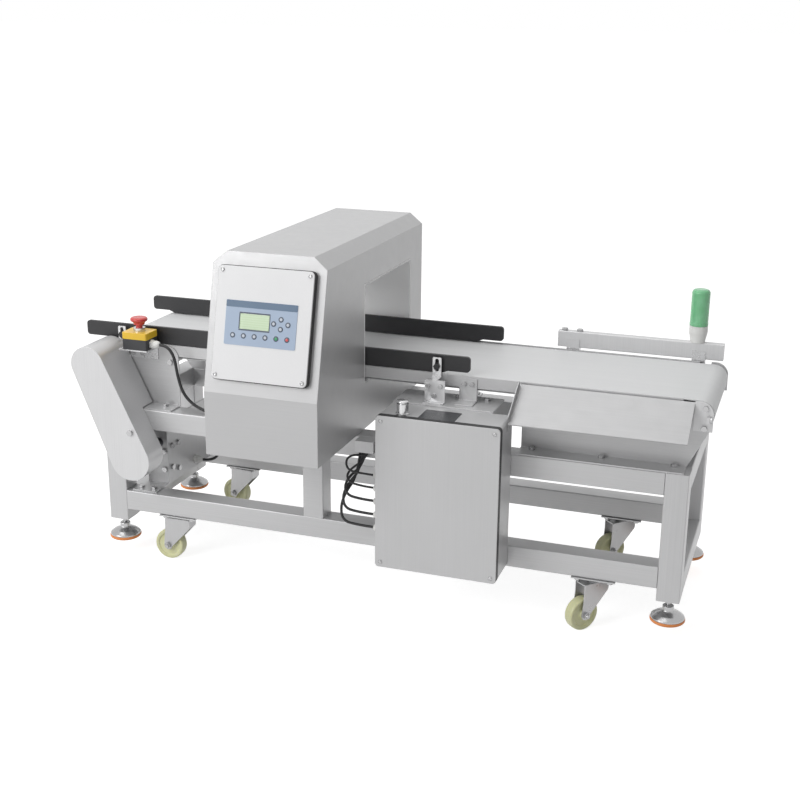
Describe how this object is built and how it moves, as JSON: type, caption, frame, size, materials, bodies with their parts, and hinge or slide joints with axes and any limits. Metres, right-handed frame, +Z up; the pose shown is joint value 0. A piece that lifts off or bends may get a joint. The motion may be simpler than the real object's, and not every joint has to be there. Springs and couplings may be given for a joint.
{
  "type": "conveyor metal detector",
  "caption": "Belt conveyor on a wheeled tube frame that carries goods through the tunnel of a boxy metal detector head, with a control box, chain drive and signal lamp.",
  "frame": {"origin": "on the floor, under the middle of the machine's outer box", "axes": "+X along the belt from the drive end to the idle end, +Y from the control side to the back, +Z up"},
  "size_m": [1.482, 0.6876, 0.813],
  "materials": {
    "stainless_tube": "satin",
    "stainless_sheet": "satin",
    "bright_steel": "semi gloss",
    "tread_rubber": "matte",
    "belt_white": "satin",
    "black_rubber": "matte",
    "black_plastic": "satin",
    "yellow_plastic": "gloss",
    "red_plastic": "gloss",
    "green_lens": "gloss",
    "white_plastic": "satin",
    "keypad_grey": "satin",
    "key_dark": "satin",
    "display_glass": "gloss",
    "chain_steel": "oiled",
    "coil_copper": "varnished",
    "board_green": "satin",
    "motor_grey": "satin",
    "unit_grey": "satin"
  },
  "bodies": {
    "machine": {"back_bar": "stainless_sheet", "box_cover": "stainless_sheet", "box_hanger": "stainless_sheet", "button_collars": "bright_steel", "cable_glands": "black_plastic", "cable_hood": "stainless_sheet", "cables": "black_rubber", "caster_plates": "bright_steel", "chain_guard": "stainless_sheet", "control_box": "stainless_sheet", "control_unit": "unit_grey", "conveyor_belt": "belt_white", "cover_gaskets": "black_rubber", "cover_screws": "bright_steel", "deflector_sheet": "stainless_sheet", "detector_housing": "stainless_sheet", "display_window": "display_glass", "drive_chain": "chain_steel", "drive_side_plates": "stainless_sheet", "electronics_door": "stainless_sheet", "estop_base": "black_plastic", "estop_lid": "yellow_plastic", "foot_inserts": "bright_steel", "frame_legs": "stainless_tube", "frame_rails": "stainless_tube", "gear_motor": "motor_grey", "idle_side_plates": "stainless_sheet", "keypad_keys": "key_dark", "keypad_panel": "keypad_grey", "lamp_base": "white_plastic", "lamp_lens": "green_lens", "machine_bolts": "bright_steel", "motor_mount": "stainless_sheet", "roller_bearings": "stainless_sheet", "search_coils": "coil_copper", "signal_board": "board_green", "slider_bed": "stainless_sheet", "support_brackets": "stainless_sheet", "tunnel_liner": "white_plastic"},
    "foot_front_left": {"levelling_foot_front_left": "bright_steel"},
    "caster_front_left": {"caster_fork_front_left": "bright_steel"},
    "wheel_front_left": {"caster_wheel_front_left": "tread_rubber"},
    "foot_front_right": {"levelling_foot_front_right": "bright_steel"},
    "caster_front_right": {"caster_fork_front_right": "bright_steel"},
    "wheel_front_right": {"caster_wheel_front_right": "tread_rubber"},
    "foot_back_left": {"levelling_foot_back_left": "bright_steel"},
    "caster_back_left": {"caster_fork_back_left": "bright_steel"},
    "wheel_back_left": {"caster_wheel_back_left": "tread_rubber"},
    "foot_back_right": {"levelling_foot_back_right": "bright_steel"},
    "caster_back_right": {"caster_fork_back_right": "bright_steel"},
    "wheel_back_right": {"caster_wheel_back_right": "tread_rubber"},
    "drive_roller_set": {"drive_roller": "bright_steel", "roller_sprocket": "chain_steel"},
    "motor_drive_set": {"motor_sprocket": "chain_steel"},
    "idle_roller_set": {"idle_roller": "bright_steel"},
    "emergency_stop_head": {"estop_button": "red_plastic"},
    "start_button_cap": {"start_button": "bright_steel"},
    "front_guide_strip": {"front_guide": "black_plastic"},
    "back_guide_strip": {"back_guide": "black_plastic"}
  },
  "joints": [
    {"name": "foot_front_left_height", "type": "slide", "parent": "machine", "child": "foot_front_left", "axis": [0, 0, 1], "range_m": [-0.045, 0.008]},
    {"name": "caster_front_left_swivel", "type": "hinge", "parent": "machine", "child": "caster_front_left", "pos_m": [-0.488, -0.08219, 0.11], "axis": [0, 0, 1], "continuous": true},
    {"name": "wheel_front_left_spin", "type": "hinge", "parent": "caster_front_left", "child": "wheel_front_left", "pos_m": [-0.522, -0.08219, 0.0375], "axis": [0, 1, 0], "continuous": true},
    {"name": "foot_front_right_height", "type": "slide", "parent": "machine", "child": "foot_front_right", "axis": [0, 0, 1], "range_m": [-0.045, 0.008]},
    {"name": "caster_front_right_swivel", "type": "hinge", "parent": "machine", "child": "caster_front_right", "pos_m": [0.52, -0.08219, 0.11], "axis": [0, 0, 1], "continuous": true},
    {"name": "wheel_front_right_spin", "type": "hinge", "parent": "caster_front_right", "child": "wheel_front_right", "pos_m": [0.49815, -0.10824, 0.0375], "axis": [-0.766, 0.6428, 0], "continuous": true},
    {"name": "foot_back_left_height", "type": "slide", "parent": "machine", "child": "foot_back_left", "axis": [0, 0, 1], "range_m": [-0.045, 0.008]},
    {"name": "caster_back_left_swivel", "type": "hinge", "parent": "machine", "child": "caster_back_left", "pos_m": [-0.488, 0.27781, 0.11], "axis": [0, 0, 1], "continuous": true},
    {"name": "wheel_back_left_spin", "type": "hinge", "parent": "caster_back_left", "child": "wheel_back_left", "pos_m": [-0.52167, 0.28254, 0.0375], "axis": [0.1392, 0.9903, 0], "continuous": true},
    {"name": "foot_back_right_height", "type": "slide", "parent": "machine", "child": "foot_back_right", "axis": [0, 0, 1], "range_m": [-0.045, 0.008]},
    {"name": "caster_back_right_swivel", "type": "hinge", "parent": "machine", "child": "caster_back_right", "pos_m": [0.52, 0.27781, 0.11], "axis": [0, 0, 1], "continuous": true},
    {"name": "wheel_back_right_spin", "type": "hinge", "parent": "caster_back_right", "child": "wheel_back_right", "pos_m": [0.49638, 0.25335, 0.0375], "axis": [-0.7193, 0.6947, 0], "continuous": true},
    {"name": "drive_roller_turn", "type": "hinge", "parent": "machine", "child": "drive_roller_set", "pos_m": [-0.67, 0.09781, 0.4975], "axis": [0, 1, 0], "continuous": true},
    {"name": "motor_sprocket_turn", "type": "hinge", "parent": "machine", "child": "motor_drive_set", "pos_m": [-0.57, 0.09781, 0.2775], "axis": [0, 1, 0], "continuous": true},
    {"name": "idle_roller_turn", "type": "hinge", "parent": "machine", "child": "idle_roller_set", "pos_m": [0.71, 0.09781, 0.4975], "axis": [0, 1, 0], "continuous": true},
    {"name": "emergency_stop_press", "type": "slide", "parent": "machine", "child": "emergency_stop_head", "axis": [0, 0, 1], "range_m": [-0.006, 0]},
    {"name": "start_button_press", "type": "slide", "parent": "machine", "child": "start_button_cap", "axis": [0, 0, 1], "range_m": [-0.003, 0], "stiffness_N_per_m": 1500, "springref_m": 0.001},
    {"name": "front_guide_height", "type": "slide", "parent": "machine", "child": "front_guide_strip", "axis": [0, 0, 1], "range_m": [-0.002, 0.012]},
    {"name": "back_guide_height", "type": "slide", "parent": "machine", "child": "back_guide_strip", "axis": [0, 0, 1], "range_m": [-0.002, 0.012]}
  ],
  "couplings": [
    {"joint": "motor_sprocket_turn", "follows": "drive_roller_turn", "ratio": 0.78947},
    {"joint": "idle_roller_turn", "follows": "drive_roller_turn", "ratio": 1}
  ]
}
